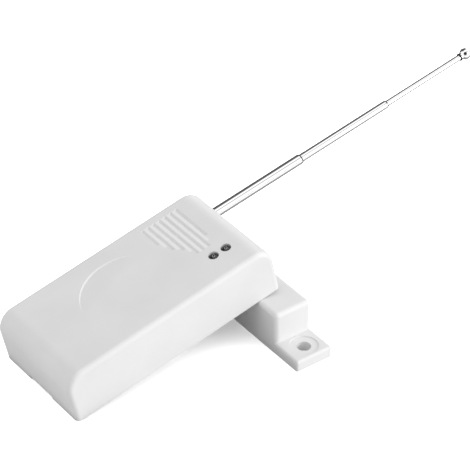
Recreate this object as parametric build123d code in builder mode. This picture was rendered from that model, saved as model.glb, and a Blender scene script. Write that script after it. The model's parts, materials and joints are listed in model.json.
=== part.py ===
from build123d import *
import os
from math import asin, atan2, cos, degrees, hypot, radians, sin, sqrt

# A wireless door sensor in millimetres, as it lies on a table. The magnet unit stands flat on
# the table, with the origin at the centre of its base, +Z up and +Y along its length. The
# transmitter leans on it: its low end touches the table, and +X runs under its long side
# towards the end where the telescopic antenna comes out.

os.makedirs("parts", exist_ok=True)

# Running and fitting clearances
overrun = 1.0  # how far a cut passes the face it opens
fit_gap = 0.15  # between a loose piece and the pocket that locates it
seat_gap = 0.05  # between a seated face and its stop
close_gap = 0.02  # between pieces pressed or screwed together

# Magnet unit
magnet_length = 54.0
magnet_width = 13.0
magnet_height = 14.5
magnet_round = 1.4
magnet_wall = 1.6
tab_length = 10.6
tab_thickness = 3.8
tab_corner = 0.6
tab_round = 0.7
tab_hole = 4.4
recess_margin = 0.8  # from a tab's end to its screw head recess
head_recess_depth = 0.3
bar_end_gap = 1.8
bar_side_gap = 0.4
bar_thickness = 5.0
bar_edge = 0.4
cover_thickness = 1.4
cover_rib_thickness = 1.2
cover_rib_spacing_share = 0.56  # of the cover's length

# Transmitter housing
housing_length = 75.0
housing_width = 38.0
housing_height = 17.2
end_roll = 6.0
edge_round = 1.5
wall = 1.8
rim_wall = 0.9
prop_inset = 10.0  # how much less than the length the magnet unit is from the low edge
near_overhang = 19.4  # how far the magnet unit reaches out past the transmitter's near side

# Decorative grooves on the top face, counted from the low end towards the antenna end
groove_shares = (0.43, 0.67, 0.79, 1.0, 1.0, 1.0, 0.79)
groove_length = 20.5
groove_width = 1.1
groove_depth = 0.4
groove_draft = 40.0
groove_pitch = 2.1
groove_end_distance = 10.4
groove_side_distance = 3.6

# Thumb rest on the top face: a round hollow that falls from its chord to its crown
thumb_chord = 26.9
thumb_rise = 7.8
thumb_depth = 0.35
thumb_draft = 50.0
thumb_turn = 17.4
thumb_end_distance = 32.5
thumb_offset = 3.9

# Pry notch in the low rim, and the back plate's tongue in it
notch_width = 11.6
notch_height = 1.3
tongue_recess = 0.4

# Back plate
plate_thickness = 2.0
plate_tab_length = 8.0
plate_tab_thickness = 1.2
plate_tab_gap = 0.8  # from the tabs' tops to the circuit board
plate_tab_lead = 0.4
plate_tab_spacing_share = 0.56  # of the housing's length
screw_hole = 3.6
screw_hole_spacing = 40.0
screw_hole_low_distance = 14.0
screw_hole_offset = 4.0
battery_rest_thickness = 1.2
battery_rest_width = 6.0
battery_rest_height = 0.65
battery_rest_spacing_share = 0.56  # of the battery's length

# Circuit board, with places on it as shares of its length and of half its width
board_clearance = 0.3  # from the board's top to the antenna's sleeve
board_thickness = 1.2
board_gap = 0.5
board_round = 1.0
post_diameter = 4.4
board_screw_diameter = 1.8
board_screw_length = 5.0
board_screw_head = 3.6
board_screw_head_height = 1.3
post_shares = ((0.067, 0.355), (0.955, -0.237), (0.678, 0.473))
joint_height = 0.5  # how far a soldered lead comes out under the board

# Battery and its contacts
battery_diameter = 10.3
battery_length = 28.5
battery_nub_diameter = 4.5
battery_nub_height = 0.8
battery_edge = 0.5
battery_side_gap = 2.75  # from the near wall's inside
battery_gap = 0.3
contact_thickness = 0.4
contact_width = 7.0
contact_height = 8.0
contact_foot = 3.0
contact_margin = 1.5  # from the board's low end to the contact's foot
spring_throw = 2.2
cradle_thickness = 1.2
cradle_width = 9.0
cradle_spacing_share = 0.56  # of the battery's length

# Reed switch
reed_diameter = 2.2
reed_length = 14.0
reed_lead_diameter = 0.5
reed_lead_reach = 2.6
reed_bend = 0.8
reed_side_distance = 2.4  # from the near wall's inside to the switch's axis
reed_gap = 1.3  # from the board's window to the nearer lead
reed_lift = 0.5

# Indicator lamps
lamp_hole_gap = 0.15
lamp_gap = 0.75
lamp_end_distance = 9.6
lamp_side_distance = 9.8
lamp_diameter = 3.0
lamp_flange_width = 0.4
lamp_flange_height = 1.0
lamp_length = 5.3
lamp_depth = 0.15  # from the top face down to the lamp's tip
lamp_dome = 0.5
lamp_lead = 0.5
lamp_lead_pitch = 1.8

# Parts on the circuit board
chip_width = 4.0
chip_height = 1.6
chip_lift = 0.2
chip_pins = 8
chip_pin_pitch = 1.27
chip_pin_width = 0.45
chip_pin_thickness = 0.2
chip_pin_reach = 1.1
chip_gap = 1.4  # from the battery contact's foot to the chip
chip_side_share = -0.355
resonator_diameter = 8.4
resonator_flange = 9.2
resonator_flange_height = 0.8
resonator_height = 3.4
resonator_edge = 0.4
resonator_shares = (0.862, 0.118)
transistor_diameter = 4.6
transistor_flat_distance = 1.4
transistor_height = 4.6
transistor_lift = 1.6
transistor_pin = 0.45
transistor_pin_pitch = 1.27
transistor_shares = (0.763, -0.089)
choke_diameter = 4.0
choke_waist = 2.6
choke_flange_height = 0.8
choke_height = 4.0
choke_shares = (0.763, 0.385)
capacitor_diameter = 5.0
capacitor_height = 7.0
capacitor_groove = 0.3
capacitor_groove_level = 1.2
capacitor_shares = (0.571, 0.207)
chip_part_length = 2.0
chip_part_width = 1.25
chip_part_height = 0.55
resistor_columns, resistor_rows = 3, 2
chip_part_gap = 1.3
resistor_shares = (0.251, 0.237)
small_capacitor_columns, small_capacitor_rows = 2, 2
small_capacitor_shares = (0.393, 0.237)

# Telescopic antenna, from the fixed sleeve to the thin end rod
sleeve_diameter = 4.0
section_reach = 34.8
reach_steps = (0.0, 0.4, 5.0)  # how much less than that each section reaches
tube_wall = 0.2
antenna_side_distance = 5.7
antenna_level = 8.6
antenna_droop = 0.85
antenna_hole_gap = 0.1
mouth_recess = 0.2
mouth_gap = 0.05
lip_thickness = 0.3
crimp_length = 0.45
crimp_depth = 0.15
bush_length = 4.0
bush_gap = 0.05
bush_thickness = 0.1
bush_slit = 0.5
foot_length = 0.4
collapsed_step = 0.6
plug_length = 4.0
tip_ball = 3.75
tip_collar_wall = 0.3
tip_collar_length = 0.6
tip_collar_round = 0.2
tip_neck_wall = 0.15
tip_neck_length = 0.45
tip_socket_depth = 0.9
antenna_screw_diameter = 2.0
antenna_screw_head = 3.6
antenna_screw_head_height = 1.2
bracket_thickness = 0.8
bracket_width = 6.0
bracket_foot = 5.0
bracket_height = 6.2

# Worked-out sizes of the magnet unit
block_length = magnet_length - 2 * tab_length
tab_hole_spacing = magnet_length - tab_length
head_recess = tab_length - 2 * recess_margin
bar_length = block_length - 2 * magnet_wall - 2 * bar_end_gap
bar_width = magnet_width - 2 * magnet_wall - 2 * bar_side_gap

# Worked-out sizes of the antenna: each section is one step thinner than the tube that it
# slides in, which leaves room for the tube's wall and the bush
section_step = tube_wall + bush_gap + bush_thickness
antenna_radii = [sleeve_diameter / 2 - count * section_step for count in range(4)]
section_reaches = [section_reach - step for step in reach_steps]
section_travels = [reach - collapsed_step for reach in section_reaches]
section_overlap = foot_length + bush_length + seat_gap + lip_thickness
sleeve_length = section_overlap + section_travels[0] + plug_length + foot_length

# Worked-out sizes of the transmitter: the board lies under the antenna's sleeve, and the
# battery is stacked from the back plate up and from the low end inwards
ceiling = housing_height - wall
cavity_width = housing_width - 2 * wall
board_top = antenna_level - sleeve_diameter / 2 - board_clearance
board_level = board_top - board_thickness
board_length = housing_length - 2 * wall - 2 * board_gap
board_width = cavity_width - 2 * board_gap
plate_tab_height = board_level - plate_thickness - plate_tab_gap
battery_bottom = plate_thickness + battery_rest_height + battery_gap
battery_level = battery_bottom + battery_diameter / 2
battery_offset = battery_side_gap + battery_diameter / 2 - cavity_width / 2
window_start = wall + board_gap + contact_margin + contact_foot
battery_low_distance = window_start + contact_thickness + spring_throw
battery_centre = battery_low_distance + battery_length / 2
positive_face = battery_low_distance + battery_length + battery_nub_height
window_end = positive_face + contact_thickness
reed_lead_ends = reed_length / 2 + reed_lead_reach
reed_centre = window_end + reed_gap + reed_lead_ends
reed_offset = reed_side_distance - cavity_width / 2
lamp_hole = lamp_diameter + 2 * lamp_hole_gap
lamp_flange = lamp_diameter + 2 * lamp_flange_width
lamp_pitch = lamp_flange + lamp_gap
chip_length = chip_pins * chip_pin_pitch
chip_place = (
    window_end + contact_foot + chip_gap + chip_length / 2,
    chip_side_share * board_width / 2,
)
chip_part_pitch = chip_part_width + chip_part_gap
chip_part_row_pitch = chip_part_length + chip_part_gap

# The lean of the transmitter: its underside touches the round of the magnet unit's top edge
prop_distance = housing_length - prop_inset
round_distance = prop_distance + magnet_round
round_height = magnet_height - magnet_round
lean = atan2(round_height, round_distance) + asin(
    (magnet_round + seat_gap) / hypot(round_distance, round_height)
)
low_edge = -magnet_width / 2 - prop_distance
centre_line = near_overhang + (housing_width - magnet_length) / 2

# Planes and axes. The transmitter's plane has X along its length, Y across it and Z out of
# its top face. The antenna's plane looks out along the antenna from the end wall.
table = Plane.XY
transmitter = Plane(
    origin=(low_edge, centre_line, 0),
    x_dir=(cos(lean), 0, sin(lean)),
    z_dir=(-sin(lean), 0, cos(lean)),
)
up = Axis(transmitter.origin, transmitter.z_dir)
along = Axis(transmitter.origin, transmitter.x_dir)
across = Axis(transmitter.origin, transmitter.y_dir)
antenna_side = housing_width / 2 - antenna_side_distance
antenna_lean = lean - radians(antenna_droop)
antenna = Plane(
    origin=transmitter.from_local_coords((housing_length, antenna_side, antenna_level)),
    x_dir=transmitter.y_dir,
    z_dir=(cos(antenna_lean), 0, sin(antenna_lean)),
)


def level(height):
    """A plane across the transmitter at a height over its underside."""
    return transmitter.offset(height)


def slice_at(distance):
    """An upright plane across the transmitter at a distance from its low end."""
    return Plane(
        origin=transmitter.from_local_coords((distance, 0, 0)),
        x_dir=transmitter.y_dir,
        z_dir=transmitter.x_dir,
    )


def side_at(offset):
    """An upright plane along the transmitter, facing its near side."""
    return Plane(
        origin=transmitter.from_local_coords((0, offset, 0)),
        x_dir=transmitter.x_dir,
        z_dir=-transmitter.y_dir,
    )


def on_board(shares):
    """A place on the circuit board from its shares, as distances on the transmitter."""
    along_share, across_share = shares
    return (wall + board_gap + along_share * board_length, across_share * board_width / 2)


def save(piece, name):
    """Labels a finished piece and writes its file."""
    piece.part.label = name
    export_step(piece.part, f"parts/{name}.step")


def moulded_form(inset, foot):
    """The housing's rolled form, drawn in by inset from every outer face, down to foot."""
    top = housing_height - inset
    width = housing_width - 2 * inset
    with BuildPart() as form:
        with BuildSketch(side_at(width / 2)) as profile:
            with BuildLine():
                Polyline(
                    (inset, foot),
                    (inset, top),
                    (housing_length - inset, top),
                    (housing_length - inset, foot),
                    close=True,
                )
            make_face()
            fillet(profile.vertices().group_by(Axis.Y)[-1], end_roll - inset)
        extrude(amount=width)
        rims = form.faces().filter_by(across).edges()
        feet = rims.group_by(up)[0]
        fillet([edge for edge in rims if edge not in feet], max(edge_round - inset, fit_gap))
    return form.part


def antenna_tube(radius, start, mouth, inner_radius):
    """A thin tube with its mouth crimped in to a lip that keeps the next section inside."""
    bore = radius - tube_wall
    lip = inner_radius + mouth_gap
    shoulder = mouth - lip_thickness
    profile_plane = Plane(origin=antenna.origin, x_dir=antenna.x_dir, z_dir=-antenna.y_dir)
    with BuildPart() as tube:
        with BuildSketch(profile_plane):
            with BuildLine():
                Polyline(
                    (bore, start),
                    (radius, start),
                    (radius, mouth - crimp_length),
                    (radius - crimp_depth, mouth),
                    (lip, mouth),
                    (lip, shoulder),
                    (bore, shoulder),
                    close=True,
                )
            make_face()
        revolve(axis=Axis(antenna.origin, antenna.z_dir))
    return tube.part


def antenna_bush(section_radius, tube_radius, start):
    """The slit spring sleeve round the foot of a section, which rubs in the tube outside."""
    outer = tube_radius - tube_wall - bush_gap
    with BuildPart() as bush:
        with BuildSketch(antenna.offset(start)):
            Circle(outer)
            Circle(section_radius, mode=Mode.SUBTRACT)
            with Locations((outer, 0)):
                Rectangle(outer, bush_slit, mode=Mode.SUBTRACT)
        extrude(amount=bush_length)
    return bush.part


# Magnet unit: case with a screw tab at each end, open underneath
with BuildPart() as magnet_block:
    with BuildSketch(table):
        Rectangle(magnet_width, block_length)
    extrude(amount=magnet_height)
    block_corners = magnet_block.edges().filter_by(Axis.Z)
    block_rim = magnet_block.edges().group_by(Axis.Z)[-1]
    fillet(block_corners + block_rim, magnet_round)

with BuildPart() as magnet_case:
    with BuildSketch(table):
        RectangleRounded(magnet_width, magnet_length, tab_corner)
    extrude(amount=tab_thickness)
    fillet(magnet_case.edges().group_by(Axis.Z)[-1], tab_round)
    add(magnet_block.part)
    with BuildSketch(table):
        Rectangle(magnet_width - 2 * magnet_wall, block_length - 2 * magnet_wall)
    extrude(amount=magnet_height - magnet_wall, mode=Mode.SUBTRACT)
    with Locations(table.offset(tab_thickness)):
        with GridLocations(0, tab_hole_spacing, 1, 2):
            CounterBoreHole(tab_hole / 2, head_recess / 2, head_recess_depth)
save(magnet_case, "magnet_case")

bar_top = magnet_height - magnet_wall - seat_gap
bar_bottom = bar_top - bar_thickness
with BuildPart() as bar_magnet:
    with BuildSketch(table.offset(bar_bottom)):
        Rectangle(bar_width, bar_length)
    extrude(amount=bar_thickness)
    chamfer(bar_magnet.edges().filter_by(Axis.Y), bar_edge)
save(bar_magnet, "bar_magnet")

cover_width = magnet_width - 2 * magnet_wall - 2 * fit_gap
cover_length = block_length - 2 * magnet_wall - 2 * fit_gap
with BuildPart() as magnet_cover:
    with BuildSketch(table):
        Rectangle(cover_width, cover_length)
    extrude(amount=cover_thickness)
    with BuildSketch(table.offset(cover_thickness)):
        with GridLocations(0, cover_rib_spacing_share * cover_length, 1, 2):
            Rectangle(cover_width, cover_rib_thickness)
    extrude(amount=bar_bottom - cover_thickness)
save(magnet_cover, "magnet_cover")

# Front housing: a rolled shell with a rebate for the back plate, posts for the board, ribs
# over the battery, two lamp holes, the antenna hole, seven grooves and the thumb rest
housing_cavity = moulded_form(wall, -overrun)
lamp_distances = [housing_length - lamp_end_distance - n * lamp_pitch for n in range(2)]
lamp_side = lamp_side_distance - housing_width / 2
groove_far_side = housing_width / 2 - groove_side_distance
last_groove = len(groove_shares) - 1
thumb_origin = (thumb_end_distance, thumb_offset, housing_height)
thumb_radius = (thumb_chord**2 / 4 + thumb_rise**2) / (2 * thumb_rise)
thumb_fall = atan2(thumb_depth, thumb_rise)
turn = radians(thumb_turn)
crown_direction = transmitter.y_dir * cos(turn) - transmitter.x_dir * sin(turn)
thumb_plane = Plane(
    origin=transmitter.from_local_coords(thumb_origin),
    x_dir=transmitter.x_dir * cos(turn) + transmitter.y_dir * sin(turn),
    z_dir=transmitter.z_dir * cos(thumb_fall) + crown_direction * sin(thumb_fall),
)
post_places = [on_board(shares) for shares in post_shares]

with BuildPart() as housing_posts:
    with BuildSketch(level(board_top)):
        with Locations(post_places):
            Circle(post_diameter / 2)
    extrude(amount=housing_height - board_top)
    for rib_side in (-1, 1):
        rib_middle = battery_centre + rib_side * cradle_spacing_share * battery_length / 2
        with BuildSketch(slice_at(rib_middle - cradle_thickness / 2)):
            with Locations((battery_offset, battery_level)):
                Rectangle(
                    cradle_width,
                    housing_height - battery_level,
                    align=(Align.CENTER, Align.MIN),
                )
                Circle(battery_diameter / 2 + battery_gap, mode=Mode.SUBTRACT)
        extrude(amount=cradle_thickness)
    add(moulded_form(wall / 2, 0), mode=Mode.INTERSECT)

with BuildPart() as front_housing:
    add(moulded_form(0, 0))
    add(housing_cavity, mode=Mode.SUBTRACT)
    add(housing_posts.part)
    with BuildSketch(transmitter) as rebate:
        with Locations((housing_length / 2, 0)):
            RectangleRounded(
                housing_length - 2 * rim_wall, housing_width - 2 * rim_wall, edge_round - rim_wall
            )
    extrude(amount=plate_thickness + seat_gap, mode=Mode.SUBTRACT)
    with BuildSketch(side_at(0)):
        with Locations((wall / 2, notch_height / 2)):
            Rectangle(2 * wall, notch_height)
    extrude(amount=notch_width / 2, both=True, mode=Mode.SUBTRACT)
    with BuildSketch(level(board_top)):
        with Locations(post_places):
            Circle(board_screw_diameter / 2 + close_gap)
    extrude(amount=board_screw_length, mode=Mode.SUBTRACT)
    with BuildSketch(level(ceiling - overrun)):
        with Locations([(distance, lamp_side) for distance in lamp_distances]):
            Circle(lamp_hole / 2)
    extrude(amount=wall + 2 * overrun, mode=Mode.SUBTRACT)
    with BuildSketch(antenna.offset(-2 * wall)):
        Circle(sleeve_diameter / 2 + antenna_hole_gap)
    extrude(amount=2 * wall + overrun, mode=Mode.SUBTRACT)
    with BuildSketch(level(housing_height)):
        for count, share in enumerate(groove_shares):
            groove_u = housing_length - groove_end_distance - (last_groove - count) * groove_pitch
            length = groove_length * share
            with Locations((groove_u, groove_far_side - length / 2)):
                SlotOverall(length, groove_width, rotation=90)
    extrude(amount=-groove_depth, taper=groove_draft, mode=Mode.SUBTRACT)
    with BuildSketch(thumb_plane):
        with Locations((0, thumb_rise - thumb_radius)):
            Circle(thumb_radius)
    extrude(amount=thumb_depth + overrun, taper=-thumb_draft, mode=Mode.SUBTRACT)
save(front_housing, "front_housing")

# Back plate, which sits in the housing's rebate: a tongue in the pry notch, four upright tabs
# that locate the housing's long walls, two rests under the battery and two screw holes
plate_length = housing_length - 2 * rim_wall - 2 * fit_gap
plate_width = housing_width - 2 * rim_wall - 2 * fit_gap
tongue_reach = rim_wall + fit_gap - tongue_recess
plate_tab_side = cavity_width / 2 - fit_gap - plate_tab_thickness / 2
screw_hole_centre = screw_hole_low_distance + screw_hole_spacing / 2

with BuildPart() as back_plate:
    with BuildSketch(transmitter):
        with Locations((housing_length / 2, 0)):
            RectangleRounded(plate_length, plate_width, edge_round - rim_wall - fit_gap)
    extrude(amount=plate_thickness)
    with BuildSketch(transmitter):
        with Locations((rim_wall + fit_gap, 0)):
            Rectangle(2 * tongue_reach, notch_width - 2 * fit_gap)
    extrude(amount=notch_height - fit_gap)
    with BuildSketch(level(plate_thickness)):
        with Locations((housing_length / 2, 0)):
            with GridLocations(
                plate_tab_spacing_share * housing_length, 2 * plate_tab_side, 2, 2
            ):
                Rectangle(plate_tab_length, plate_tab_thickness)
    extrude(amount=plate_tab_height)
    tab_tops = back_plate.faces().group_by(up)[-1]
    chamfer(tab_tops.edges().filter_by(along), plate_tab_lead)
    with BuildSketch(level(plate_thickness)):
        with Locations((battery_centre, battery_offset)):
            with GridLocations(battery_rest_spacing_share * battery_length, 0, 2, 1):
                Rectangle(battery_rest_thickness, battery_rest_width)
    extrude(amount=battery_rest_height)
    with Locations(level(plate_thickness)):
        with Locations((screw_hole_centre, screw_hole_offset)):
            with GridLocations(screw_hole_spacing, 0, 2, 1):
                Hole(screw_hole / 2)
save(back_plate, "back_plate")

# Circuit board with a window for the battery, and the screws that hold it to the posts
window_middle = (window_start + window_end) / 2
window_width = battery_diameter + 2 * battery_gap
lamp_lead_places = [
    (distance + side * lamp_lead_pitch / 2, lamp_side)
    for distance in lamp_distances
    for side in (-1, 1)
]
reed_lead_places = [(reed_centre + side * reed_lead_ends, reed_offset) for side in (-1, 1)]

with BuildPart() as circuit_board:
    with BuildSketch(level(board_level)):
        with Locations((housing_length / 2, 0)):
            RectangleRounded(board_length, board_width, board_round)
        with Locations((window_middle, battery_offset)):
            Rectangle(window_end - window_start, window_width, mode=Mode.SUBTRACT)
        with Locations(post_places):
            Circle(board_screw_diameter / 2 + fit_gap, mode=Mode.SUBTRACT)
        with Locations(lamp_lead_places):
            Circle(lamp_lead, mode=Mode.SUBTRACT)
        with Locations(reed_lead_places):
            Circle(reed_lead_diameter, mode=Mode.SUBTRACT)
    extrude(amount=board_thickness)
save(circuit_board, "circuit_board")

with BuildPart() as board_screws:
    with BuildSketch(level(board_level - board_screw_head_height)):
        with Locations(post_places):
            Circle(board_screw_head / 2)
    extrude(amount=board_screw_head_height)
    chamfer(board_screws.edges().group_by(up)[0], board_screw_head_height / 4)
    with BuildSketch(level(board_level)):
        with Locations(post_places):
            Circle(board_screw_diameter / 2)
    extrude(amount=board_screw_length)
save(board_screws, "board_screws")

# Battery, lying along the box in the board's window with its positive end to the antenna end
with BuildPart() as battery:
    with BuildSketch(slice_at(battery_low_distance)):
        with Locations((battery_offset, battery_level)):
            Circle(battery_diameter / 2)
    extrude(amount=battery_length)
    chamfer(battery.edges().filter_by(GeomType.CIRCLE), battery_edge)
    with BuildSketch(slice_at(battery_low_distance + battery_length)):
        with Locations((battery_offset, battery_level)):
            Circle(battery_nub_diameter / 2)
    extrude(amount=battery_nub_height)
save(battery, "battery")

foot_level = board_top + contact_thickness / 2
contact_top = battery_level + contact_height / 2
contact_plane = side_at(battery_offset + contact_width / 2)

with BuildPart() as battery_positive_contact:
    with BuildSketch(contact_plane):
        with BuildLine():
            Polyline(
                (positive_face + contact_thickness / 2 + close_gap, contact_top),
                (positive_face + contact_thickness / 2 + close_gap, foot_level),
                (window_end + contact_foot, foot_level),
            )
        trace(line_width=contact_thickness)
    extrude(amount=contact_width)
save(battery_positive_contact, "battery_positive_contact")

spring_back = battery_low_distance - spring_throw - contact_thickness / 2
spring_front = battery_low_distance - contact_thickness / 2 - close_gap
with BuildPart() as battery_negative_spring:
    with BuildSketch(contact_plane):
        with BuildLine():
            Polyline(
                (window_start - contact_foot, foot_level),
                (spring_back, foot_level),
                (spring_back, contact_top),
                (spring_front, battery_level),
                (spring_front - contact_thickness, foot_level + contact_thickness),
            )
        trace(line_width=contact_thickness)
    extrude(amount=contact_width)
save(battery_negative_spring, "battery_negative_spring")

# Reed switch: a glass tube with a lead out of each end, bent down into the board
reed_level = board_top + reed_lift + reed_diameter / 2
reed_start = reed_centre - reed_length / 2
with BuildPart() as reed_switch_glass:
    with BuildSketch(slice_at(reed_start)):
        with Locations((reed_offset, reed_level)):
            Circle(reed_diameter / 2)
            Circle(reed_lead_diameter / 2 + close_gap, mode=Mode.SUBTRACT)
    extrude(amount=reed_length)
    glass_ends = reed_switch_glass.edges().filter_by(GeomType.CIRCLE)
    fillet([edge for edge in glass_ends if edge.radius > reed_diameter / 4], reed_diameter / 4)
save(reed_switch_glass, "reed_switch_glass")

with BuildPart() as reed_switch_leads:
    with BuildLine(side_at(reed_offset)) as reed_route:
        FilletPolyline(
            (reed_centre - reed_lead_ends, board_level - joint_height),
            (reed_centre - reed_lead_ends, reed_level),
            (reed_centre + reed_lead_ends, reed_level),
            (reed_centre + reed_lead_ends, board_level - joint_height),
            radius=reed_bend,
        )
    with BuildSketch(reed_route.line ^ 0):
        Circle(reed_lead_diameter / 2)
    sweep()
save(reed_switch_leads, "reed_switch_leads")

# Two indicator lamps under their holes, standing on their leads
lamp_tip = housing_height - lamp_depth
lamp_foot = lamp_tip - lamp_length


def lamp(distance):
    """A round lamp: a flange, a barrel and a low domed tip."""
    upright = Plane(
        origin=transmitter.from_local_coords((distance, lamp_side, 0)),
        x_dir=transmitter.x_dir,
        z_dir=-transmitter.y_dir,
    )
    radius = lamp_diameter / 2
    flange_top = lamp_foot + lamp_flange_height
    shoulder = lamp_tip - lamp_dome
    dome_radius = (radius**2 + lamp_dome**2) / (2 * lamp_dome)
    with BuildPart() as bulb:
        with BuildSketch(upright):
            with BuildLine():
                Polyline(
                    (0, lamp_tip),
                    (0, lamp_foot),
                    (lamp_flange / 2, lamp_foot),
                    (lamp_flange / 2, flange_top),
                    (radius, flange_top),
                    (radius, shoulder),
                )
                RadiusArc((radius, shoulder), (0, lamp_tip), -dome_radius)
            make_face()
        revolve(axis=Axis(upright.origin, transmitter.z_dir))
    return bulb.part


for distance, name in zip(lamp_distances, ("alarm_lamp", "battery_lamp")):
    with BuildPart() as lamp_piece:
        add(lamp(distance))
    save(lamp_piece, name)

with BuildPart() as lamp_leads:
    with BuildSketch(level(board_level - joint_height)):
        with Locations(lamp_lead_places):
            Rectangle(lamp_lead, lamp_lead)
    extrude(amount=lamp_foot - board_level + joint_height)
save(lamp_leads, "lamp_leads")

# Encoder chip with gull-wing pins along both long sides
chip_floor = board_top + chip_lift
pin_middle = chip_floor + chip_height / 2
with BuildPart() as encoder_chip:
    with BuildSketch(level(chip_floor)):
        with Locations(chip_place):
            Rectangle(chip_length, chip_width)
    extrude(amount=chip_height)
    chamfer(encoder_chip.edges().group_by(up)[-1], chip_lift)
    for pin in range(chip_pins):
        pin_offset = (pin - (chip_pins - 1) / 2) * chip_pin_pitch
        pin_start = chip_place[0] + pin_offset - chip_pin_width / 2
        for side in (-1, 1):
            root = chip_place[1] + side * chip_width / 2
            with BuildSketch(slice_at(pin_start)):
                with BuildLine():
                    Polyline(
                        (root - side * chip_lift, pin_middle),
                        (root + side * chip_pin_reach / 2, pin_middle),
                        (root + side * chip_pin_reach / 2, board_top + chip_pin_thickness / 2),
                        (root + side * chip_pin_reach, board_top + chip_pin_thickness / 2),
                    )
                trace(line_width=chip_pin_thickness)
            extrude(amount=chip_pin_width)
save(encoder_chip, "encoder_chip")

# Round metal resonator can on its flange
with BuildPart() as saw_resonator:
    with BuildSketch(level(board_top)):
        with Locations(on_board(resonator_shares)):
            Circle(resonator_flange / 2)
    extrude(amount=resonator_flange_height)
    with BuildSketch(level(board_top)):
        with Locations(on_board(resonator_shares)):
            Circle(resonator_diameter / 2)
    extrude(amount=resonator_height)
    chamfer(saw_resonator.edges().group_by(up)[-1], resonator_edge)
save(saw_resonator, "saw_resonator")

# Transistor: a flat-faced round body on three pins
with BuildPart() as rf_transistor:
    with BuildSketch(level(board_top + transistor_lift)):
        with Locations(on_board(transistor_shares)):
            Circle(transistor_diameter / 2)
            with Locations((0, transistor_flat_distance)):
                Rectangle(
                    transistor_diameter,
                    transistor_diameter,
                    align=(Align.CENTER, Align.MIN),
                    mode=Mode.SUBTRACT,
                )
    extrude(amount=transistor_height)
    with BuildSketch(level(board_top)):
        with Locations(on_board(transistor_shares)):
            with GridLocations(transistor_pin_pitch, 0, 3, 1):
                Rectangle(transistor_pin, transistor_pin)
    extrude(amount=transistor_lift)
save(rf_transistor, "rf_transistor")

# Choke: a spool with a narrower winding between its flanges
with BuildPart() as rf_choke:
    with BuildSketch(level(board_top)):
        with Locations(on_board(choke_shares)):
            Circle(choke_waist / 2)
    extrude(amount=choke_height)
    for flange_foot in (board_top, board_top + choke_height - choke_flange_height):
        with BuildSketch(level(flange_foot)):
            with Locations(on_board(choke_shares)):
                Circle(choke_diameter / 2)
        extrude(amount=choke_flange_height)
save(rf_choke, "rf_choke")

# Filter capacitor: an upright can with a crimped groove near its foot
with BuildPart() as filter_capacitor:
    with BuildSketch(level(board_top)):
        with Locations(on_board(capacitor_shares)):
            Circle(capacitor_diameter / 2)
    extrude(amount=capacitor_height)
    with BuildSketch(level(board_top + capacitor_groove_level)):
        with Locations(on_board(capacitor_shares)):
            Circle(capacitor_diameter / 2 + overrun)
            Circle(capacitor_diameter / 2 - capacitor_groove, mode=Mode.SUBTRACT)
    extrude(amount=2 * capacitor_groove, mode=Mode.SUBTRACT)
    chamfer(filter_capacitor.edges().group_by(up)[-1], capacitor_groove)
save(filter_capacitor, "filter_capacitor")

# Chip resistors and chip capacitors, in two small fields on the board
with BuildPart() as chip_resistors:
    with BuildSketch(level(board_top)):
        with Locations(on_board(resistor_shares)):
            with GridLocations(
                chip_part_pitch, chip_part_row_pitch, resistor_columns, resistor_rows
            ):
                Rectangle(chip_part_width, chip_part_length)
    extrude(amount=chip_part_height)
save(chip_resistors, "chip_resistors")

with BuildPart() as chip_capacitors:
    with BuildSketch(level(board_top)):
        with Locations(on_board(small_capacitor_shares)):
            with GridLocations(
                chip_part_pitch, chip_part_row_pitch, small_capacitor_columns, small_capacitor_rows
            ):
                Rectangle(chip_part_width, chip_part_length)
    extrude(amount=2 * chip_part_height)
save(chip_capacitors, "chip_capacitors")

# Antenna: a fixed sleeve in the housing, two tubes and a rod that slide inside one another
sleeve_radius, *section_radii = antenna_radii
mouths = [-mouth_recess]
for reach in section_reaches:
    mouths.append(mouths[-1] + reach)
section_starts = [mouth - section_overlap for mouth in mouths[:-1]]
sleeve_end = mouths[0] - sleeve_length

with BuildPart() as antenna_sleeve:
    add(antenna_tube(sleeve_radius, sleeve_end, mouths[0], section_radii[0]))
save(antenna_sleeve, "antenna_sleeve")

for count in range(2):
    with BuildPart() as section_tube:
        add(
            antenna_tube(
                section_radii[count], section_starts[count], mouths[count + 1], section_radii[count + 1]
            )
        )
    save(section_tube, f"antenna_section_{count + 1}")

rod_end = mouths[3] + tip_socket_depth - close_gap
with BuildPart() as antenna_rod:
    with BuildSketch(antenna.offset(section_starts[2])):
        Circle(section_radii[2])
    extrude(amount=rod_end - section_starts[2])
save(antenna_rod, "antenna_section_3")

for count in range(3):
    with BuildPart() as foot_bush:
        bush_start = section_starts[count] + foot_length
        add(antenna_bush(section_radii[count], antenna_radii[count], bush_start))
    save(foot_bush, f"antenna_bush_{count + 1}")

# Ball, neck and collar on the end of the rod
neck_radius = section_radii[2] + tip_neck_wall
ball_rise = sqrt((tip_ball / 2) ** 2 - neck_radius**2)
tip_length = tip_collar_length + tip_neck_length + ball_rise
with BuildPart() as antenna_tip:
    with BuildSketch(antenna.offset(mouths[3])):
        Circle(section_radii[2] + tip_collar_wall)
    extrude(amount=tip_collar_length)
    fillet(antenna_tip.edges().filter_by(GeomType.CIRCLE), tip_collar_round)
    with BuildSketch(antenna.offset(mouths[3])):
        Circle(neck_radius)
    extrude(amount=tip_length)
    with Locations(antenna.offset(mouths[3] + tip_length)):
        Sphere(tip_ball / 2)
    with BuildSketch(antenna.offset(mouths[3])):
        Circle(section_radii[2] + close_gap)
    extrude(amount=tip_socket_depth, mode=Mode.SUBTRACT)
save(antenna_tip, "antenna_tip")

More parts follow.
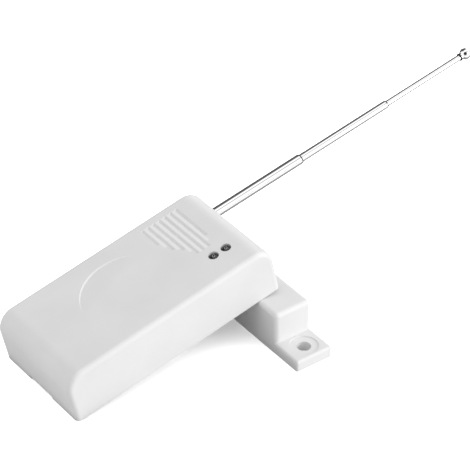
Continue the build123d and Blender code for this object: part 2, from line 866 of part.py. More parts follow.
# Base of the sleeve: a plug pressed into it, an angle bracket on the board and a screw
with BuildPart() as antenna_base_plug:
    with BuildSketch(antenna.offset(sleeve_end)):
        Circle(sleeve_radius - tube_wall - close_gap)
        Circle(antenna_screw_diameter / 2 + close_gap, mode=Mode.SUBTRACT)
    extrude(amount=plug_length)
save(antenna_base_plug, "antenna_base_plug")

bracket_face = housing_length + sleeve_end * cos(radians(antenna_droop)) - fit_gap
with BuildPart() as antenna_bracket:
    with BuildSketch(side_at(antenna_side + bracket_width / 2)):
        with BuildLine():
            Polyline(
                (bracket_face - bracket_foot, board_top + bracket_thickness / 2),
                (bracket_face - bracket_thickness / 2, board_top + bracket_thickness / 2),
                (bracket_face - bracket_thickness / 2, board_top + bracket_height),
            )
        trace(line_width=bracket_thickness)
    extrude(amount=bracket_width)
    with BuildSketch(antenna.offset(sleeve_end)):
        Circle(antenna_screw_diameter / 2 + fit_gap)
    extrude(amount=-bracket_foot, mode=Mode.SUBTRACT)
save(antenna_bracket, "antenna_bracket")

screw_seat = sleeve_end - 2 * fit_gap - bracket_thickness
with BuildPart() as antenna_screw:
    with BuildSketch(antenna.offset(screw_seat - antenna_screw_head_height)):
        Circle(antenna_screw_head / 2)
    extrude(amount=antenna_screw_head_height)
    with BuildSketch(antenna.offset(screw_seat)):
        Circle(antenna_screw_diameter / 2)
    extrude(amount=sleeve_end - screw_seat + plug_length - close_gap)
save(antenna_screw, "antenna_screw")

print("lean of the transmitter in degrees", round(degrees(lean), 3))
print("travel of each antenna section", [round(travel, 3) for travel in section_travels])
print("antenna direction", [round(value, 6) for value in antenna.z_dir])
print("housing direction", [round(value, 6) for value in transmitter.z_dir])
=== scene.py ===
import json
from math import asin, cos, pi, radians, sin, tau

import bmesh
import bpy
from mathutils import Matrix, Vector


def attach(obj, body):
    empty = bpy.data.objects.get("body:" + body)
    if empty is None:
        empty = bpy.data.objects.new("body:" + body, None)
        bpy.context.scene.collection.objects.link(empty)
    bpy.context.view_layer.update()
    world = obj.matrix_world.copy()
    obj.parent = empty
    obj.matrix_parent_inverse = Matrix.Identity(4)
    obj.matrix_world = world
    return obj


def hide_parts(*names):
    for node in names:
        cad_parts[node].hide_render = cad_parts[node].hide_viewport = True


# A wireless door sensor: a white transmitter with a chrome telescopic antenna, leaning on its
# magnet unit. Metres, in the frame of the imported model.
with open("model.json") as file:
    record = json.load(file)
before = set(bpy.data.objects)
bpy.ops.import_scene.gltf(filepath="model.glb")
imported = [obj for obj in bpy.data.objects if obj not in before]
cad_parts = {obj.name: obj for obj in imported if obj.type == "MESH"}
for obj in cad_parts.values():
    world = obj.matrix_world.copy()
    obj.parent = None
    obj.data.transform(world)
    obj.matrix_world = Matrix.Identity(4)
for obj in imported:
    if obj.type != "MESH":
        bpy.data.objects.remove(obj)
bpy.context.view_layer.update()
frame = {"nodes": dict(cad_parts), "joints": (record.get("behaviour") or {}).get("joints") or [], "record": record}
nodes = frame["nodes"]

# Ways that a distance can be measured along in the transmitter's frame
ALONG, ACROSS, OUT, ROUND, ALL_WAYS = (1, 0, 0), (0, 1, 0), (0, 0, 1), (1, 1, 0), (1, 1, 1)


def points_of(node, own):
    """A node's points in a frame of its own."""
    into_own = own.inverted()
    return [into_own @ vertex.co for vertex in nodes[node].data.vertices]


def box_round(points):
    """The low and the high corner of some points."""
    return [Vector([end(values) for values in zip(*points)]) for end in (min, max)]


# The transmitter's own frame: X along its length from the foot of its low end, Y across it from
# its middle, Z out of its top
axes = {joint["name"]: joint["axis"] for joint in frame["joints"]}
lean = asin(-axes["housing_lift"][0])
leaning = Matrix.Rotation(-lean, 4, "Y")
low, high = box_round(points_of("front_housing", leaning))
low_end_foot = leaning @ Vector((low.x, (low.y + high.y) / 2, low.z))
transmitter = Matrix.Translation(low_end_foot) @ leaning
boxes = {node: box_round(points_of(node, transmitter)) for node in nodes}

# The grooves in that frame: each one's share of the longest, their sizes, and where the last
# one and the line that they all start from, on the far side, lie
groove_shares = (0.43, 0.67, 0.79, 1.0, 1.0, 1.0, 0.79)
groove_length, groove_width, groove_pitch = 0.0205, 0.0011, 0.0021
last_groove, groove_far_side = 0.0646, 0.0154


def low_of(node):
    """A node's low corner in the transmitter's frame."""
    return boxes[node][0]


def high_of(node):
    """A node's high corner in the transmitter's frame."""
    return boxes[node][1]


def middle_of(node):
    """The middle of a node in the transmitter's frame."""
    return (low_of(node) + high_of(node)) / 2


# Node helpers
def give(tree, node, sockets):
    """Set each of a node's sockets to a value, or link it to another node's output."""
    for key, value in sockets.items():
        socket = node.inputs[key]
        if isinstance(value, bpy.types.NodeSocket):
            tree.links.new(value, socket)
        else:
            socket.default_value = (*value, 1) if socket.type == "RGBA" else value


def math_step(tree, operation, value, other=0.0):
    """A number worked on by one operation."""
    node = tree.nodes.new("ShaderNodeMath")
    node.operation = operation
    give(tree, node, {0: value, 1: other})
    return node.outputs["Value"]


def vector_step(tree, operation, vector, other=(0, 0, 0)):
    """A vector worked on by one operation. A length or a dot product is a number."""
    node = tree.nodes.new("ShaderNodeVectorMath")
    node.operation = operation
    give(tree, node, {0: vector, 1: other})
    return node.outputs["Value" if operation in ("LENGTH", "DOT_PRODUCT") else "Vector"]


def spread(tree, value, low, high, start=0.3, end=0.7):
    """A value from start to end, spread over low to high."""
    node = tree.nodes.new("ShaderNodeMapRange")
    ends = {"From Min": start, "From Max": end, "To Min": low, "To Max": high}
    give(tree, node, {"Value": value, **ends})
    return node.outputs["Result"]


def mix_colors(tree, share, first, second, how="MIX"):
    """Two colours or grey levels mixed, with a share of the second."""
    node = tree.nodes.new("ShaderNodeMix")
    node.data_type = "RGBA"
    node.blend_type = how
    give(tree, node, {"Factor": share, "A": first, "B": second})
    return node.outputs["Result"]


def mix_shaders(tree, share, first, second):
    """Two shaders mixed, with a share of the second."""
    node = tree.nodes.new("ShaderNodeMixShader")
    give(tree, node, {0: share, 1: first, 2: second})
    return node.outputs[0]


def noise(tree, size, detail, roughness):
    """Noise with features of a size in metres, in object coordinates."""
    texture = tree.nodes.new("ShaderNodeTexNoise")
    point = tree.nodes.new("ShaderNodeTexCoord").outputs["Object"]
    give(tree, texture, {"Vector": point, "Scale": 1 / size})
    give(tree, texture, {"Detail": detail, "Roughness": roughness})
    return texture.outputs["Fac"]


def from_place(tree, place):
    """A point's distances along the transmitter's own ways from a place in it."""
    mapping = tree.nodes.new("ShaderNodeMapping")
    mapping.vector_type = "TEXTURE"
    point = tree.nodes.new("ShaderNodeTexCoord").outputs["Object"]
    give(tree, mapping, {"Vector": point, "Location": transmitter @ Vector(place)})
    give(tree, mapping, {"Rotation": transmitter.to_euler()})
    return mapping.outputs["Vector"]


def beyond(tree, place, ways, edge, centre=0.0):
    """1 where a point's distance from a place in the transmitter, measured along some of its
    ways, is more than edge from centre, and 0 nearer."""
    soft_edge = 0.00002
    along = vector_step(tree, "MULTIPLY", from_place(tree, place), ways)
    distance = vector_step(tree, "LENGTH", along)
    off_centre = math_step(tree, "ABSOLUTE", math_step(tree, "SUBTRACT", distance, centre))
    return spread(tree, off_centre, 0, 1, edge - soft_edge, edge + soft_edge)


def from_ridges(tree):
    """A point's distance from the middle of the nearest of the six ridges between the grooves."""
    nearest = None
    ridge_distance = last_groove - (len(groove_shares) - 0.5) * groove_pitch
    for share, next_share in zip(groove_shares, groove_shares[1:]):
        ridge_distance += groove_pitch
        length = groove_length * (share + next_share) / 2
        middle = (ridge_distance, groove_far_side - length / 2, 0)
        offset = vector_step(tree, "ABSOLUTE", from_place(tree, middle))
        straight = (0, length / 2 - groove_width / 2, 1)
        past = vector_step(tree, "MAXIMUM", vector_step(tree, "SUBTRACT", offset, straight))
        distance = vector_step(tree, "LENGTH", past)
        nearest = distance if nearest is None else math_step(tree, "MINIMUM", nearest, distance)
    return nearest


# Base finishes: a colour, a roughness and how metallic
housing_white = ((0.80, 0.80, 0.80), 0.5, 0.0)
back_white = ((0.78, 0.78, 0.78), 0.5, 0.0)
magnet_white = ((0.81, 0.81, 0.81), 0.5, 0.0)
resist_green = ((0.03, 0.16, 0.06), 0.35, 0.0)
black_epoxy = ((0.02, 0.02, 0.022), 0.55, 0.0)
resistor_black = ((0.02, 0.02, 0.022), 0.5, 0.0)
ceramic_brown = ((0.42, 0.3, 0.18), 0.5, 0.0)
ferrite_black = ((0.06, 0.06, 0.06), 0.7, 0.0)
magnet_black = ((0.12, 0.12, 0.125), 0.6, 0.0)
sleeve_blue = ((0.015, 0.025, 0.09), 0.3, 0.0)
jacket_gold = ((0.55, 0.4, 0.1), 0.3, 0.7)
# Painted glint: the light grey ring on the dark lamp lenses
cup_glint_grey = ((0.42, 0.42, 0.41), 0.08, 0.0)
alarm_red = ((0.014, 0.006, 0.006), 0.08, 0.0)
battery_green = ((0.005, 0.010, 0.008), 0.08, 0.0)
glass_green = ((0.75, 0.92, 0.82), 0.05, 0.0)
tin = ((0.62, 0.6, 0.55), 0.28, 1.0)
wire_copper = ((0.6, 0.25, 0.12), 0.35, 1.0)
can_aluminium = ((0.7, 0.7, 0.71), 0.35, 1.0)
plate_steel = ((0.55, 0.55, 0.56), 0.32, 1.0)
screw_steel = ((0.5, 0.5, 0.51), 0.3, 1.0)
joint_solder = ((0.66, 0.65, 0.62), 0.22, 1.0)
plug_brass = ((0.72, 0.53, 0.25), 0.3, 1.0)
bright_chrome = ((0.86, 0.86, 0.87), 0.045, 1.0)
# Painted shade: the dark ring at the ends of the antenna's sections and at the tip's collar
gap_shade_chrome = ((0.05, 0.05, 0.052), 0.3, 1.0)

# Colours laid over a base finish: a painted highlight on the housing's ridges, and the board's copper
ridge_highlight_white, copper_green = (0.895, 0.895, 0.895), (0.012, 0.07, 0.028)


# Materials
def tree_of(name):
    """A new material with its node tree and its surface shader."""
    material = bpy.data.materials.new(name)
    material.use_nodes = True
    tree = material.node_tree
    return material, tree, tree.nodes["Principled BSDF"]


def finish(
    name, base, cloud=0.02, tint=0.03, grain=0.0004, bump=0.000004, zone=None, far=None, **others
):
    """A surface whose colour, gloss and fine relief vary a little. The colour varies by tint over
    clouds of a size, and the relief by bump over grains of a size. A zone has what beyond takes,
    and past its edge the surface has the far base. The others are more of the shader's sockets."""
    gloss_change = 0.12
    material, tree, shader = tree_of(name)
    color, rough, metal = base
    dark = [level * (1 - tint) for level in color]
    light = [min(1.0, level * (1 + tint)) for level in color]
    clouds = noise(tree, cloud, detail=3.0, roughness=0.5)
    fine = noise(tree, grain, detail=2.0, roughness=0.6)
    shade = mix_colors(tree, spread(tree, clouds, 0, 1), dark, light)
    gloss = spread(tree, fine, rough * (1 - gloss_change), rough * (1 + gloss_change))
    if zone:
        far_color, far_rough, far_metal = far
        past = beyond(tree, *zone)
        shade = mix_colors(tree, past, shade, far_color)
        gloss = spread(tree, past, gloss, far_rough, 0, 1)
        if far_metal != metal:
            metal = spread(tree, past, metal, far_metal, 0, 1)
    relief = tree.nodes.new("ShaderNodeBump")
    give(tree, relief, {"Height": fine, "Strength": 1.0, "Distance": bump})
    give(tree, shader, {"Base Color": shade, "Roughness": gloss, "Metallic": metal, **others})
    give(tree, shader, {"Normal": relief.outputs["Normal"]})
    return material


def overlaid(material, share, color):
    """The material, with another colour over its own where the share is 1."""
    base = material.node_tree.nodes["Principled BSDF"].inputs["Base Color"]
    shade = mix_colors(material.node_tree, share, base.links[0].from_socket, color)
    material.node_tree.links.new(shade, base)
    return material


def housing_finish():
    """White plastic, with a painted highlight that makes the ridges between the grooves a little lighter."""
    highlight_half, plain_half = 0.00035, 0.00065
    material = finish("housing_plastic", housing_white, grain=0.00022, bump=0.0000035)
    tree = material.node_tree
    # Painted highlight: the ridges between the grooves are made lighter
    ridge_highlight = spread(tree, from_ridges(tree), 1, 0, highlight_half, plain_half)
    return overlaid(material, ridge_highlight, ridge_highlight_white)


def board_finish():
    """Green solder resist over islands of copper, with dark gaps between them."""
    cut_island = 0.0004
    start = low_of("circuit_board") - Vector((cut_island, 0, 0))
    material = finish("circuit_board", resist_green, grain=0.0006, tint=0.2)
    tree = material.node_tree
    islands = tree.nodes.new("ShaderNodeTexBrick")
    islands.offset, islands.offset_frequency = 0.35, 3
    islands.squash, islands.squash_frequency = 0.45, 2
    give(tree, islands, {"Vector": from_place(tree, start), "Scale": 1})
    give(tree, islands, {"Brick Width": 0.0085, "Row Height": 0.00285, "Mortar Size": 0.00016})
    return overlaid(material, islands.outputs["Fac"], copper_green)


def lens_finish(name, lamp, dark):
    """Dark smoked epoxy with a painted glint: a light grey ring that stands for the edge of the small reflector
    cup inside it.
    """
    # The painted glint: a light grey ring round the lamp's axis
    glint_radius, glint_half = 0.00042, 0.00009
    glint_ring = (middle_of(lamp), ROUND, glint_half, glint_radius)
    return finish(name, cup_glint_grey, tint=0.1, zone=glint_ring, far=dark, **{"Coat Weight": 0.5})


def chip_part_finish(node, base):
    """Small chip parts with tinned ends, in two rows."""
    row_offset, body_half = 0.00165, 0.0007
    bodies = (middle_of(node), ACROSS, body_half, row_offset)
    return finish(node, base, grain=0.0002, tint=0.1, zone=bodies, far=tin)


def ringed_chrome(name, end_corner, ring_half):
    """Chrome with painted shade: a ring at one end where the metal is dull and dark."""
    ring = (end_corner, ALONG, ring_half, ring_half)
    fine = {"grain": 0.0008, "bump": 0.0000006}
    return finish(name + "_chrome", gap_shade_chrome, zone=ring, far=bright_chrome, **fine)


chrome_relief = {"cloud": 0.006, "tint": 0.02, "grain": 0.0008, "bump": 0.0000006}
glass_sockets = {"Transmission Weight": 0.9, "IOR": 1.5}
by_slot = {
    "housing_plastic": housing_finish(),
    "back_plastic": finish("back_plastic", back_white, grain=0.00025, bump=0.000006),
    "magnet_plastic": finish("magnet_plastic", magnet_white, grain=0.00022, bump=0.0000035),
    "circuit_board": board_finish(),
    "nickel": finish("nickel", tin, grain=0.0003, bump=0.0000007),
    "steel": finish("steel", plate_steel, grain=0.0002, bump=0.000003),
    "brass": finish("brass", plug_brass, grain=0.0002),
    "chrome": finish("chrome", bright_chrome, **chrome_relief),
    "reed_glass": finish("reed_glass", glass_green, **glass_sockets),
    "alarm_lens": lens_finish("alarm_lens", "alarm_lamp", alarm_red),
    "battery_lens": lens_finish("battery_lens", "battery_lamp", battery_green),
    "magnet_metal": finish("magnet_metal", magnet_black, grain=0.0003, bump=0.00001, tint=0.15),
}

# Finishes of the parts that have two, such as pins, caps and windings, with the sizes that part
# the one from the other
chip_half, pin_height, core_radius, can_top_radius = 0.002, 0.0016, 0.00135, 0.002
battery_half, cap_length = 0.01425, 0.0004
crimp_half, collar_half = 0.00022, 0.0003
can_top = Vector((*middle_of("filter_capacitor").xy, high_of("filter_capacitor").z))
by_node = {
    "encoder_chip": finish(
        "encoder_chip", black_epoxy, grain=0.0002, tint=0.2,
        zone=(middle_of("encoder_chip"), ACROSS, chip_half), far=tin,
    ),
    "rf_transistor": finish(
        "rf_transistor", tin, grain=0.0002,
        zone=(low_of("rf_transistor"), OUT, pin_height), far=black_epoxy,
    ),
    "rf_choke": finish(
        "rf_choke", wire_copper, grain=0.0001, bump=0.00002,
        zone=(middle_of("rf_choke"), ROUND, core_radius), far=ferrite_black,
    ),
    "filter_capacitor": finish(
        "filter_capacitor", can_aluminium,
        zone=(can_top, ALL_WAYS, can_top_radius), far=sleeve_blue,
    ),
    "battery": finish(
        "battery", jacket_gold, tint=0.08,
        zone=(low_of("battery"), ALONG, battery_half - cap_length, battery_half), far=tin,
    ),
    # Painted shade: a dark ring at each section's crimped mouth and at the tip's collar
    "antenna_section_1": ringed_chrome("section_1", high_of("antenna_section_1"), crimp_half),
    "antenna_section_2": ringed_chrome("section_2", high_of("antenna_section_2"), crimp_half),
    "antenna_tip": ringed_chrome("tip", low_of("antenna_tip"), collar_half),
    "chip_resistors": chip_part_finish("chip_resistors", resistor_black),
    "chip_capacitors": chip_part_finish("chip_capacitors", ceramic_brown),
}
for subpart in frame["record"]["subparts"]:
    node = subpart["node"]
    mesh = nodes[node].data
    mesh.materials.clear()
    mesh.materials.append(by_node.get(node) or by_slot[subpart["material_slot"]])


# Small fasteners and solder joints, each shape made once and set in its places by geometry nodes
def added(name, data):
    """A new object of some data, at the origin of the scene."""
    item = bpy.data.objects.new(name, data)
    bpy.context.scene.collection.objects.link(item)
    return item


def turned(rings, steps=24):
    """A closed mesh round Z from rings of (radius, height). A radius may be a function of the
    angle, and 0 at either end closes the mesh."""
    bm = bmesh.new()
    loops = []
    for radius, height in rings:
        angles = [tau * n / steps for n in range(steps if radius else 1)]
        radii = [radius(angle) if callable(radius) else radius for angle in angles]
        corners = [(r * cos(angle), r * sin(angle), height) for r, angle in zip(radii, angles)]
        loops.append([bm.verts.new(corner) for corner in corners])
    for low, high in zip(loops, loops[1:]):
        for n in range(steps):
            corners = (low[n % len(low)], low[(n + 1) % steps % len(low)])
            corners += (high[(n + 1) % steps % len(high)], high[n % len(high)])
            bm.faces.new(tuple(dict.fromkeys(corners)))
    bmesh.ops.recalc_face_normals(bm, faces=bm.faces)
    return bm


def as_object(bm, name):
    """A bmesh as an object."""
    mesh = bpy.data.meshes.new(name)
    bm.to_mesh(mesh)
    bm.free()
    return added(name, mesh)


def as_mesh(shape, name):
    """An object's mesh with its modifiers made real, and the object removed."""
    graph = bpy.context.evaluated_depsgraph_get()
    mesh = bpy.data.meshes.new_from_object(shape.evaluated_get(graph))
    mesh.name = name
    bpy.data.objects.remove(shape)
    return mesh


def cross_recess(half, arm, floor, mouth):
    """A tapered cross from its narrow floor down past its mouth."""
    floor_share = 0.6
    bm = bmesh.new()
    plus = [(half, half), (half, arm), (-half, arm), (-half, half), (-arm, half), (-arm, -half)]
    plus += [(-x, -y) for x, y in plus]
    low = [bm.verts.new((x, y, mouth)) for x, y in plus]
    high = [bm.verts.new((x * floor_share, y * floor_share, floor)) for x, y in plus]
    bm.faces.new(low)
    bm.faces.new(high)
    for n in range(len(plus)):
        m = (n + 1) % len(plus)
        bm.faces.new((low[n], low[m], high[m], high[n]))
    bmesh.ops.recalc_face_normals(bm, faces=bm.faces)
    return bm


def screw_shape(name, head_height, shank, length):
    """A cross-recess screw along Z, with its head's seat at 0 and its thread above."""
    head, bevel = 0.00178, 0.0003
    depth, pitch, rows = 0.00018, 0.0006, 60
    point_share, point_length = 0.35, 0.0012
    recess_half, recess_arm, recess_depth, recess_past = 0.00023, 0.00105, 0.0008, 0.0001

    def thread(height, taper):
        def radius(angle):
            return taper * (shank - depth * abs(2 * ((height / pitch - angle / tau) % 1) - 1))
        return radius

    rings = [(0, -head_height), (head - bevel, -head_height)]
    rings += [(head, bevel - head_height), (head, 0)]
    for row in range(rows + 1):
        height = length * row / rows
        taper = min(1.0, point_share + (length - height) / point_length)
        rings.append((thread(height, taper), height))
    shape = as_object(turned(rings + [(0, length)]), name)
    floor, mouth = recess_depth - head_height, -head_height - recess_past
    recess = as_object(cross_recess(recess_half, recess_arm, floor, mouth), "recess")
    cut = shape.modifiers.new("recess", "BOOLEAN")
    cut.object = recess
    cut.solver = "EXACT"
    shape = added(name, as_mesh(shape, name))
    bpy.data.objects.remove(recess)
    return shape


def placing_tree():
    """Geometry nodes that set a shape on each point, leaning and turned at random on its axis."""
    tree = bpy.data.node_groups.new("set_in_places", "GeometryNodeTree")
    for name, kind, in_out in (
        ("Places", "Geometry", "INPUT"),
        ("Shape", "Object", "INPUT"),
        ("Lean", "Vector", "INPUT"),
        ("Seed", "Int", "INPUT"),
        ("Finish", "Material", "INPUT"),
        ("Pieces", "Geometry", "OUTPUT"),
    ):
        tree.interface.new_socket(name, in_out=in_out, socket_type="NodeSocket" + kind)
    given = tree.nodes.new("NodeGroupInput").outputs
    shape = tree.nodes.new("GeometryNodeObjectInfo")
    turn = tree.nodes.new("FunctionNodeRandomValue")
    turn.data_type = "FLOAT_VECTOR"
    least, most = (socket for socket in turn.inputs if socket.type == "VECTOR")
    least.default_value = (0, 0, 0)
    most.default_value = (0, 0, tau)
    placed = tree.nodes.new("GeometryNodeInstanceOnPoints")
    turned_round = tree.nodes.new("GeometryNodeRotateInstances")
    real = tree.nodes.new("GeometryNodeRealizeInstances")
    finished = tree.nodes.new("GeometryNodeSetMaterial")
    result = tree.nodes.new("NodeGroupOutput")
    for start, end in (
        (given["Shape"], shape.inputs["Object"]),
        (given["Seed"], turn.inputs["Seed"]),
        (given["Places"], placed.inputs["Points"]),
        (shape.outputs["Geometry"], placed.inputs["Instance"]),
        (given["Lean"], placed.inputs["Rotation"]),
        (placed.outputs["Instances"], turned_round.inputs["Instances"]),
        (turn.outputs[0], turned_round.inputs["Rotation"]),
        (turned_round.outputs["Instances"], real.inputs["Geometry"]),
        (real.outputs["Geometry"], finished.inputs["Geometry"]),
        (given["Finish"], finished.inputs["Material"]),
        (finished.outputs["Geometry"], result.inputs["Pieces"]),
    ):
        tree.links.new(start, end)
    return tree


set_in_places = placing_tree()


def set_pieces(name, shape, places, turn, seed, surface, stands_for=()):
    """One piece of a shape set at some places, which rides on the housing. Each copy is turned
    to lean as given, and then by chance on its own axis."""
    points = bpy.data.meshes.new(name)
    points.from_pydata(places, [], [])
    maker = added(name + "_maker", points)
    values = {"Shape": shape, "Lean": turn, "Seed": seed, "Finish": surface}
    modifier = maker.modifiers.new("set", "NODES")
    modifier.node_group = set_in_places
    for item in set_in_places.interface.items_tree:
        if item.in_out == "INPUT" and item.name in values:
            modifier[item.identifier] = values[item.name]
    piece = added(name, as_mesh(maker, name))
    bpy.data.objects.remove(shape)
    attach(piece, "housing")
    if stands_for:
        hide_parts(*stands_for)


def screws_apart(node, gap):
    """The middles of a node's screws, which stand apart by more than a gap along the
    transmitter, from its low end."""
    points = sorted(points_of(node, transmitter), key=lambda point: point.x)
    groups = [points[:1]]
    for last, point in zip(points, points[1:]):
        if point.x - last.x > gap:
            groups.append([])
        groups[-1].append(point)
    return [sum(box_round(group), Vector()) / 2 for group in groups]


def under_board(place):
    """The point of the board's underside that is level with a place in the transmitter."""
    return transmitter @ Vector((place.x, place.y, low_of("circuit_board").z))


upright = (0, -lean, 0)
screw_surface = finish("screw_steel", screw_steel, grain=0.0002, bump=0.000001)
low_screw, middle_screw, high_screw = screws_apart("board_screws", gap=0.005)
set_pieces(
    "board_screws_cross_head",
    screw_shape("board_screw", head_height=0.0013, shank=0.00088, length=0.005),
    [under_board(screw) for screw in (low_screw, high_screw, middle_screw)],
    turn=upright, seed=1, surface=screw_surface, stands_for=("board_screws",),
)

# The antenna's screw points out along the antenna
antenna_turn = pi / 2 - asin(axes["antenna_slide_1"][2])
antenna = Matrix.Rotation(antenna_turn, 4, "Y")
head_height = 0.0012
low, high = box_round(points_of("antenna_screw", antenna))
seat = antenna @ Vector(((low.x + high.x) / 2, (low.y + high.y) / 2, low.z + head_height))
set_pieces(
    "antenna_screw_cross_head",
    screw_shape("base_screw", head_height, shank=0.00098, length=0.00508),
    [seat], turn=(0, antenna_turn, 0),
    seed=2, surface=screw_surface, stands_for=("antenna_screw",),
)


def joints_under(node, *offsets, start=None, aside=0.0):
    """Places of solder joints at some distances along from a node's middle, or from its low
    (min) or high (max) end, and aside from it."""
    along = start(corner.x for corner in boxes[node]) if start else middle_of(node).x
    across = middle_of(node).y + aside
    return [under_board(Vector((along + offset, across, 0))) for offset in offsets]


joint_rings = (
    (0, -0.00055), (0.0002, -0.00054), (0.00036, -0.00042), (0.00045, -0.00025),
    (0.00062, -0.00009), (0.0008, 0), (0, 0),
)
joint_places = [
    *joints_under("alarm_lamp", -0.0009, 0.0009),
    *joints_under("battery_lamp", -0.0009, 0.0009),
    *joints_under("reed_switch_leads", -0.0096, 0.0096),
    *joints_under("battery_positive_contact", -0.0015, start=max),
    *joints_under("battery_negative_spring", 0.0015, start=min),
    *joints_under("antenna_bracket", 0),
    *joints_under("rf_transistor", -0.00127, 0, 0.00127, aside=0.00045),
    *joints_under("rf_choke", -0.0012, 0.0012),
    *joints_under("filter_capacitor", -0.001, 0.001),
    *joints_under("saw_resonator", -0.00254, 0.00254),
]
set_pieces(
    "solder_joints", as_object(turned(joint_rings, 16), "joint"), joint_places,
    turn=upright, seed=3,
    surface=finish("solder", joint_solder, grain=0.0003, bump=0.0000015),
)


# Floor: a white sheet, brighter where the camera or a reflection sees it than as a light
def stage_sheet(name, low, high, level):
    """A level rectangle that belongs to the stage, from its low to its high corner. It is clear
    from below, and to what touches it, so that undersides can be looked at."""
    touching_distance = 0.0001
    mesh = bpy.data.meshes.new(name)
    (x0, y0), (x1, y1) = low, high
    corners = [(x0, y0, level), (x1, y0, level), (x1, y1, level), (x0, y1, level)]
    mesh.from_pydata(corners, [], [(0, 1, 2, 3)])
    sheet = added(name, mesh)
    material, tree, shader = tree_of(name)
    tree.nodes.remove(shader)
    diffuse = tree.nodes.new("ShaderNodeBsdfDiffuse")
    ray_length = tree.nodes.new("ShaderNodeLightPath").outputs["Ray Length"]
    from_below = tree.nodes.new("ShaderNodeNewGeometry").outputs["Backfacing"]
    touching = math_step(tree, "LESS_THAN", ray_length, touching_distance)
    clear = math_step(tree, "MAXIMUM", touching, from_below)
    nothing = tree.nodes.new("ShaderNodeBsdfTransparent")
    one_sided = mix_shaders(tree, clear, diffuse.outputs[0], nothing.outputs[0])
    give(tree, tree.nodes["Material Output"], {"Surface": one_sided})
    mesh.materials.append(material)
    return sheet, tree, diffuse


def grey(level):
    """A level as a colour."""
    return (level, level, level)


floor_half, floor_level = 1.5, -0.00003
floor_light, floor_reflected, floor_seen = grey(0.65), grey(1.25), grey(2.3)
floor_corners = (-floor_half, -floor_half), (floor_half, floor_half)
sheet, tree, diffuse = stage_sheet("floor", *floor_corners, floor_level)
ray = tree.nodes.new("ShaderNodeLightPath").outputs
lit = mix_colors(tree, ray["Is Glossy Ray"], floor_light, floor_reflected)
give(tree, diffuse, {"Color": mix_colors(tree, ray["Is Camera Ray"], lit, floor_seen)})

# A grey and a dark card behind the antenna only show in reflections, so that the chrome and the
# rolled end have edges. Dark cloths under the transmitter, along the magnet unit's side and at
# the low end's foot only take light away, so that these are as deep in shade as in the photograph.
card_level, card_start, card_end = 0.0003, 0.0, 0.5
grey_near, grey_far, dark_far = -0.022, 0.035, 1.2
cloth_level, cloth_gap, strip_width, foot_width = 0.0002, 0.0001, 0.004, 0.0016
strip_past, cloth_past, cloth_short, foot_past = 0.0005, 0.0029, 0.0009, 0.0004
magnet_low = box_round(points_of("magnet_case", Matrix()))[0]
housing_low, housing_high = box_round(points_of("front_housing", Matrix()))
magnet_side, foot_side = magnet_low.x - cloth_gap, low_end_foot.x - cloth_gap
strip_end = housing_low.y - cloth_past
for name, low, high, level, shade, reflects in (
    ("grey_card", (card_start, grey_near), (card_end, grey_far), card_level, 0.38, True),
    ("dark_card", (card_start, grey_far), (card_end, dark_far), card_level, 0.03, True),
    (
        "dark_cloth", (foot_side + foot_width, strip_end),
        (magnet_side, housing_high.y - cloth_short), cloth_level, 0.08, False,
    ),
    (
        "dark_strip", (magnet_side - strip_width, magnet_low.y - strip_past),
        (magnet_side, strip_end), cloth_level, 0.03, False,
    ),
    (
        "foot_strip", (foot_side - foot_width, housing_low.y - foot_past),
        (foot_side, housing_high.y + foot_past), cloth_level, 0.03, False,
    ),
):
    sheet, tree, diffuse = stage_sheet(name, low, high, level)
    give(tree, diffuse, {"Color": grey(shade)})
    sheet.visible_camera = sheet.visible_shadow = sheet.visible_transmission = False
    sheet.visible_glossy = reflects
    sheet.visible_diffuse = not reflects

# World: a plain white room, which shows in reflections as a light tent with a dark gap behind
# the object, another low down, a thin seam overhead and a dark opening for the camera
world = bpy.data.worlds.new("studio")
bpy.context.scene.world = world
world.use_nodes = True
sky = world.node_tree
sky.nodes.clear()
way = sky.nodes.new("ShaderNodeTexCoord").outputs["Generated"]
split = sky.nodes.new("ShaderNodeSeparateXYZ")
give(sky, split, {"Vector": way})


def levels_along(value, stops):
    """A level at each place along a direction's part, from -1 to 1, and between them."""
    ramp = sky.nodes.new("ShaderNodeValToRGB")
    give(sky, ramp, {"Fac": spread(sky, value, 0, 1, -1, 1)})
    elements = ramp.color_ramp.elements
    for place, level in stops:
        elements.new((place + 1) / 2).color = (*grey(level), 1)
    elements.remove(elements[0])
    elements.remove(elements[-1])
    return ramp.outputs["Color"]


def background(color, strength):
    """An even light of a colour from all round."""
    node = sky.nodes.new("ShaderNodeBackground")
    give(sky, node, {"Color": color, "Strength": strength})
    return node.outputs[0]


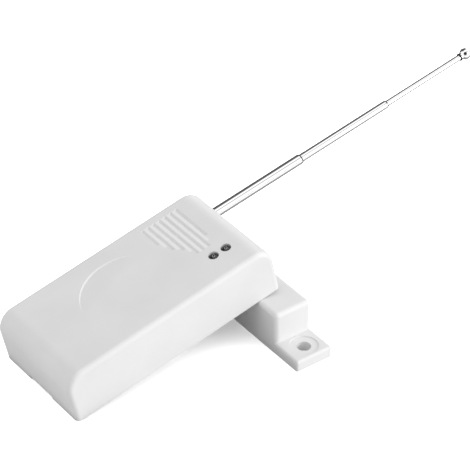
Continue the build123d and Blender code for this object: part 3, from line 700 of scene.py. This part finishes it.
seam = ((-0.54, 1), (-0.47, 0.2), (-0.38, 0.2), (-0.31, 1))
far_gap = levels_along(split.outputs["Y"], (*seam, (0.27, 1), (0.43, 0.1)))
low_gap = levels_along(split.outputs["Z"], ((-0.08, 1), (0.0, 0.25), (0.04, 0.25), (0.1, 1)))
gap_ends = ((-0.55, 1), (-0.45, 0), (0.56, 0), (0.64, 1))
far_gap_sides = levels_along(split.outputs["X"], gap_ends)
camera_way = (-0.476, -0.646, 0.597)
toward_camera = vector_step(sky, "DOT_PRODUCT", way, camera_way)
opening = levels_along(toward_camera, ((0.8, 1), (0.88, 0.04)))
far_side = mix_colors(sky, 1, far_gap, far_gap_sides, "LIGHTEN")
near_side = mix_colors(sky, 1, low_gap, opening, "MULTIPLY")
tent = mix_colors(sky, 1, far_side, near_side, "MULTIPLY")
ambient_level, studio_level, backdrop_level = 0.8, 1.25, 1.1
ray = sky.nodes.new("ShaderNodeLightPath").outputs
ambient, studio = background(grey(1), ambient_level), background(tent, studio_level)
room = mix_shaders(sky, ray["Is Glossy Ray"], ambient, studio)
backdrop = background(grey(1), backdrop_level)
shown = mix_shaders(sky, ray["Is Camera Ray"], room, backdrop)
give(sky, sky.nodes.new("ShaderNodeOutputWorld"), {"Surface": shown})

# Key light, from the near side and the antenna's end
key_turn, key_rise, key_distance = radians(42), radians(18), 1.6
key_data = bpy.data.lights.new("key", "AREA")
key_data.shape = "SQUARE"
key_data.size = 1.0
key_data.energy = 14.3
key = added("key", key_data)
key_way = Vector((sin(key_turn) * cos(key_rise), -cos(key_turn) * cos(key_rise), sin(key_rise)))
key.location = key_way * key_distance
key.rotation_euler = key_way.to_track_quat("Z", "Y").to_euler()

# Camera at the photograph's place
camera_data = bpy.data.cameras.new("camera")
camera_data.lens = 209.468
camera_data.sensor_width = 36
camera = added("camera", camera_data)
camera.location = (-0.392219, -0.51972, 0.515638)
camera.rotation_euler = (radians(53.3778), 0, radians(-36.3686))
bpy.context.scene.camera = camera
bpy.context.scene.view_settings.view_transform = "Standard"
